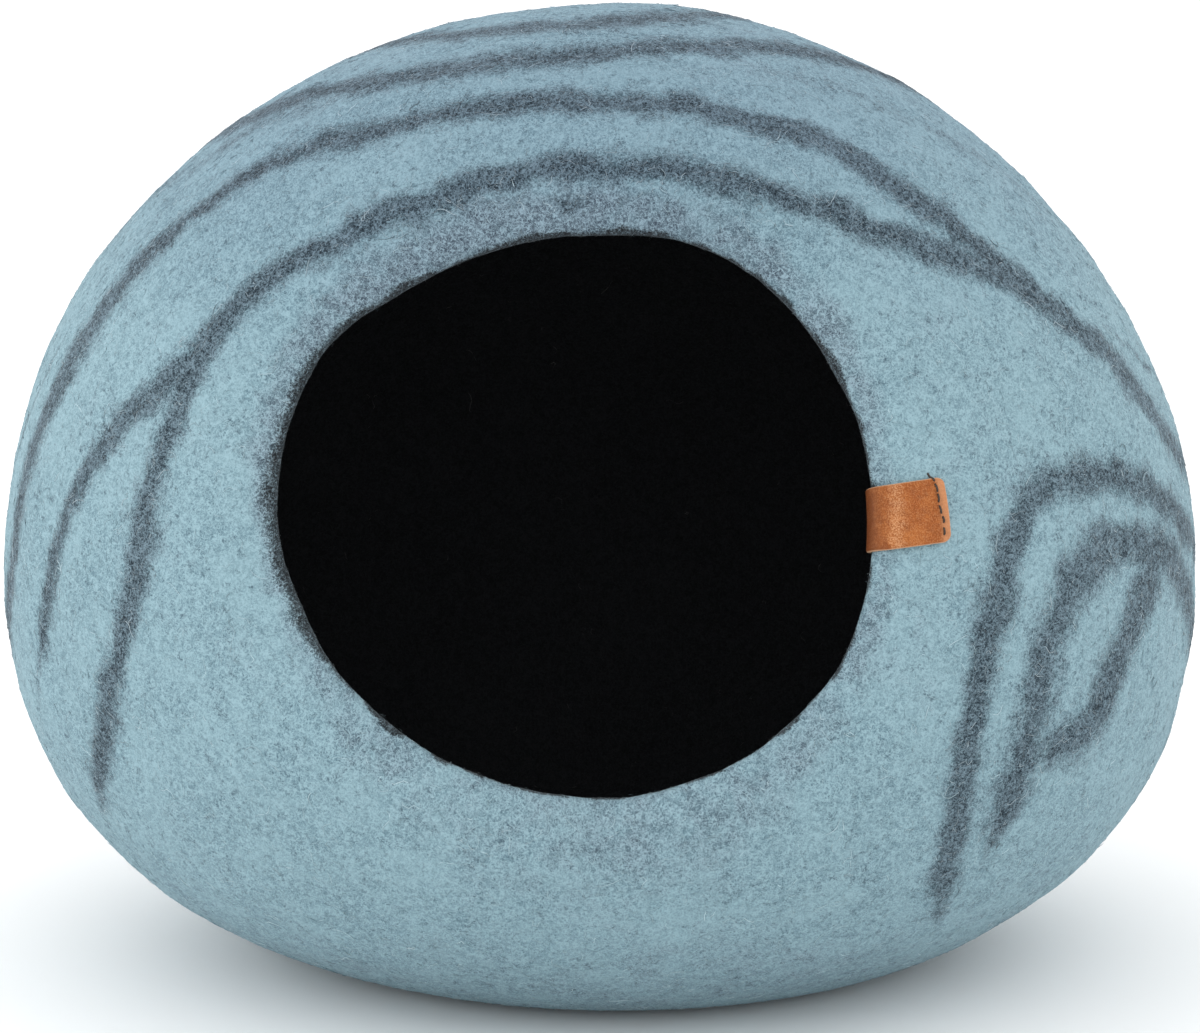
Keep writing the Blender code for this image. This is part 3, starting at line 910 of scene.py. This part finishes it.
def felt_material():
    p = Pattern("matted_wool")
    band, inside, thin, rim = (p.attribute(name) for name in ("band", "inside", "thin", "rim"))
    web = wool_web(p)
    specks = p.noise(SPECKS, 2, 0.6)
    tufts = p.noise(TUFTS, 2, 0.6, 0.5)
    patches = p.noise(PATCHES, 3, 0.6, 0.8)
    clouds = p.noise(CLOUDS, 3, 0.55, 0.4)

    # bands: soft at the edge, which is broken up by tufts
    ragged = p.stirred(band, (tufts, 0.9), (patches, 1.3), (clouds, 0.7), (specks, 0.7))
    in_band = p.span(ragged, *BAND_EDGE)

    # thin wool and painted shade: the dark wool under the blue shows between its fibres, and the same
    # darkening paints shade where the lip turns in and beside the foot
    worn_and_shaded = p.span(p.stirred(thin, (patches, 1.3), (clouds, 1.0), (tufts, 0.5)), *WORN_AND_SHADED_EDGE)

    # the ground between the fibres, with short darker flecks, and the fibres' own colour
    felted = p.mix(p.span(p.noise(42, 3, 0.6, 0.6), 0.40, 0.66), FELT_DEEP, FELT_MIDDLE)
    strokes = p.noise(420, 2, 0.6, 0.4, p.stretched((0.4, 0.9, 0.2), (1.0, 0.38, 1.0), (5, 1, 7)))
    flecks = p.math("MULTIPLY", p.span(strokes, 0.47, 0.70), p.span(patches, 0.40, 0.62, 0.25, 1.0))
    felted = p.mix(p.math("MULTIPLY", flecks, 0.84), felted, FELT_FLECK)
    ground = p.mix(in_band, p.mix(worn_and_shaded, felted, THIN_AND_SHADED_GROUND), BAND_GROUND)
    light = p.mix(p.math("MULTIPLY", in_band, 0.95), p.mix(worn_and_shaded, FELT_LIGHT, THIN_AND_SHADED_LIGHT), BAND_LIGHT)

    # how much of the ground the fibres hide: nearly all of it where the wool lies dense
    dense = p.stirred(0.20, (clouds, 0.45))
    dense = p.math("SUBTRACT", dense, p.math("MULTIPLY", p.math("MAXIMUM", worn_and_shaded, in_band), 0.14))
    cover = p.stirred(p.math("ADD", web, dense), (specks, -1.0), (tufts, 1.0))
    cover = p.math("SUBTRACT", cover, p.math("MULTIPLY", flecks, 0.16), clamp=True)
    # painted shade: darker and greyer over the crown
    outer = p.painted_crown_shade(p.mix(cover, ground, light))

    # painted shade: the dark rim where the lip turns into the opening, with some worn wool, and the
    # near-black wool inside
    broken_rim_shade = p.math("MULTIPLY_ADD", p.math("SUBTRACT", web, 0.3), -0.4, p.stirred(rim, (specks, 0.9)))
    at_rim_shade = p.span(broken_rim_shade, *RIM_SHADE_EDGE, 0.0, 0.94)
    outer = p.mix(at_rim_shade, outer, p.mix(cover, RIM_SHADE_GROUND, RIM_SHADE_LIGHT))
    # painted shade: the inner skin's wool is made near black, for the shade inside the cave
    inner = p.mix(p.math("MULTIPLY", cover, 0.6), INNER_SHADE_GROUND, INNER_SHADE_LIGHT)
    colour = p.mix(p.span(p.stirred(inside, (tufts, 0.4)), *INSIDE_EDGE), outer, inner)

    relief = p.math("MULTIPLY_ADD", p.noise(900, 1, 0.5, 0.8), 0.50, tufts)
    return p.finish(Base_Color=colour, Roughness=0.95, Normal=p.bump(relief, 0.0010, 0.75), Sheen_Weight=0.10,
                    Sheen_Roughness=0.45, Sheen_Tint=WOOL_SHEEN, Specular_IOR_Level=0.12)


def fibre_material():
    p = Pattern("loose_fibre")
    band, inside, thin, rim, tone = (p.attribute(name) for name in ("band", "inside", "thin", "rim", "tone"))
    bright = p.math("POWER", tone, 2.2)
    # the blue fibres are darker where the wool lies thin and where shade is painted by the lip and the foot
    blue = p.mix(p.math("MULTIPLY", thin, 0.4), p.mix(bright, *BLUE_FIBRES), p.mix(bright, *THIN_AND_SHADED_FIBRES))
    # in a band the dark fibres lie among lighter ones
    colour = p.mix(p.span(band, *FIBRE_BAND_EDGE), blue, p.mix(tone, *BAND_FIBRES))
    # painted shade over the crown, as on the felt
    colour = p.painted_crown_shade(p.mix(p.math("MULTIPLY", p.noise(260, 2, 0.6), 0.25), colour, FIBRE_SHADE))
    # painted shade: near-black fibres at the dark rim and inside the cave
    dark = p.mix(bright, *INNER_SHADE_FIBRES)
    colour = p.mix(p.math("MULTIPLY", rim, 0.8), colour, dark)
    colour = p.mix(p.span(inside, *FIBRE_INSIDE_EDGE), colour, dark)
    return p.finish(Base_Color=colour, Roughness=0.8, Sheen_Weight=0.15, Specular_IOR_Level=0.2)


def leather_material():
    p = Pattern("tan_leather")
    rub, station, grain_side = p.attribute("rub"), p.attribute("station"), p.attribute("grain_side")
    cloud = p.noise(110, 4, 0.6, 0.5)
    blotch = p.noise(420, 3, 0.6, 0.4)
    pores = p.noise(2400, 2, 0.6)
    creases = p.lines(p.noise(900, 2, 0.6, 0.8), 0.05)
    tan = p.mix(p.span(cloud, 0.3, 0.7), TAN_DEEP, TAN_LIGHT)
    tan = p.mix(p.math("MULTIPLY", p.span(blotch, 0.48, 0.72), 0.45), tan, TAN_BLOTCH)
    tan = p.mix(p.math("MULTIPLY", p.span(pores, 0.50, 0.66), 0.50), tan, TAN_PORE)
    tan = p.mix(p.math("MULTIPLY", p.span(pores, 0.50, 0.36), 0.30), tan, TAN_PALE_PORE)

    # darker at the fold with painted shade where the leather turns over the lip, a painted sheen highlight
    # beside it, and paler past the stitches
    fold = p.stirred(station, (cloud, 0.006))
    tan = p.mix(p.span(fold, *FOLD_SHADE_REACH, 0.0, 0.82), tan, TAN_FOLD_SHADE)
    # painted highlight: a speckled sheen streak beside the fold
    from_highlight = p.math("ABSOLUTE", p.math("SUBTRACT", fold, HIGHLIGHT_FROM_FOLD))
    painted_highlight = p.math("MULTIPLY", p.span(from_highlight, *HIGHLIGHT_REACH), p.span(pores, 0.42, 0.58, 0.50, 0.05))
    tan = p.mix(painted_highlight, tan, TAN_SHEEN_HIGHLIGHT)
    margin = p.span(station, *(TAB_FRONT_LENGTH - gap for gap in MARGIN_FROM_END), 0.0, 0.55)
    tan = p.mix(margin, tan, TAN_MARGIN)

    colour = p.mix(grain_side, p.mix(p.noise(1500, 3, 0.6), LEATHER_FLESH, LEATHER_EDGE), tan)
    colour = p.mix(p.span(rub, 0.25, 1.0, 0.0, 0.75), colour, LEATHER_EDGE)
    height = p.math("SUBTRACT", p.math("MULTIPLY", pores, 0.6), p.math("MULTIPLY", creases, 0.5))
    height = p.math("MULTIPLY_ADD", blotch, 0.5, height)
    return p.finish(Base_Color=colour, Roughness=p.span(pores, 0.3, 0.8, 0.36, 0.58),
                    Normal=p.bump(height, 0.00018, 0.7), Specular_IOR_Level=0.16)


def thread_material():
    p = Pattern("dark_thread")
    inputs = {"Vector": p.stretched((0.4, 0.9, 0.7), (1, 1, 1)), "Scale": 900.0, "Distortion": 2.0}
    plies = p.node("ShaderNodeTexWave", inputs).outputs["Fac"]
    return p.finish(Base_Color=p.mix(plies, *THREAD_PLIES), Roughness=0.6, Normal=p.bump(plies, 0.00015, 0.6))


# ================================================================ stage
CAMERA_ELEVATION = 10.0
CAMERA_DISTANCE = 1.7
CAMERA_TARGET = Vector((0.0, BODY_MIDDLE[1], 0.1535))
CAMERA_LENS = 144.0  # millimetres, as is the sensor's width
SENSOR_WIDTH = 36.0
FLOOR_WIDTH = 60.0
SKY_STRENGTH = 1.36
LAMP_AIM = Vector((0, 0, 0.15))
# columns: name, place, width, watts
LAMPS = (
    ("left_softbox", Vector((-1.7, -0.5, 0.7)), 1.2, 6.0),
    ("right_softbox", Vector((1.7, -0.5, 0.7)), 1.2, 0.5),
    ("front_softbox", Vector((0.0, -2.2, 1.1)), 1.4, 1.7),
)


def make_stage():
    """A pale floor, an even studio sky and three soft lights."""
    scene = bpy.context.scene
    scene.view_settings.view_transform = "Standard"
    scene.view_settings.look = "None"

    bpy.ops.mesh.primitive_plane_add(size=FLOOR_WIDTH, location=(0, 0, 0))
    floor = bpy.context.object
    floor.name = "studio_floor"
    paint = Pattern("studio_paint")
    floor.data.materials.append(paint.finish(Base_Color=FLOOR_PAINT, Roughness=0.9, Specular_IOR_Level=0.1))

    world = bpy.data.worlds.new("studio_sky")
    world.use_nodes = True
    sky = world.node_tree.nodes["Background"]
    sky.inputs["Color"].default_value = (1.0, 1.0, 1.0, 1.0)
    sky.inputs["Strength"].default_value = SKY_STRENGTH
    scene.world = world

    for name, place, width, watts in LAMPS:
        lamp = bpy.data.lights.new(name, "AREA")
        lamp.size = width
        lamp.energy = watts
        holder = bpy.data.objects.new(name, lamp)
        holder.location = place
        holder.rotation_euler = (LAMP_AIM - place).to_track_quat("-Z", "Y").to_euler()
        scene.collection.objects.link(holder)


def make_camera():
    angle = np.radians(CAMERA_ELEVATION)
    back = Vector((0.0, -np.cos(angle), np.sin(angle)))
    lens = bpy.data.cameras.new("camera")
    lens.lens = CAMERA_LENS
    lens.sensor_width = SENSOR_WIDTH
    lens.clip_start = 0.05
    lens.clip_end = 100.0
    camera = bpy.data.objects.new("camera", lens)
    camera.location = CAMERA_TARGET + back * CAMERA_DISTANCE
    camera.rotation_euler = (-back).to_track_quat("-Z", "Y").to_euler()
    bpy.context.scene.collection.objects.link(camera)
    bpy.context.scene.camera = camera


def dress_shell():
    wall = shell_piece()
    wall.data.materials.append(felt_material())
    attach(wall, "root")
    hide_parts("felt_shell")
    fibres = [
        fibre_piece(wall, "fibres_laid_1", 8200, 101, anywhere, **LAID),
        fibre_piece(wall, "fibres_laid_2", 8200, 102, where_thin, **LAID),
        fibre_piece(wall, "fibres_in_bands", 6000, 104, near_bands, combed=0.6, **LAID),
        fibre_piece(wall, "fibres_stray", 7000, 103, anywhere, stations=5, **STRAY),
        fibre_piece(wall, "fibres_on_lip", 5000, 105, at_lip, stations=5, **FRINGE),
    ]
    wool = fibre_material()
    for piece in fibres:
        piece.data.materials.append(wool)
    return wall, fibres


def dress_tab():
    leather = tab_piece()
    leather.data.materials.append(leather_material())
    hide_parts("leather_tab")
    thread = thread_piece()
    thread.data.materials.append(thread_material())
    for piece in (leather, thread):
        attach(piece, "root")
    return [leather, thread]


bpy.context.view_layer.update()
make_stage()
make_camera()
felt_wall, loose_fibres = dress_shell()
tab_pieces = dress_tab()
bpy.context.view_layer.update()
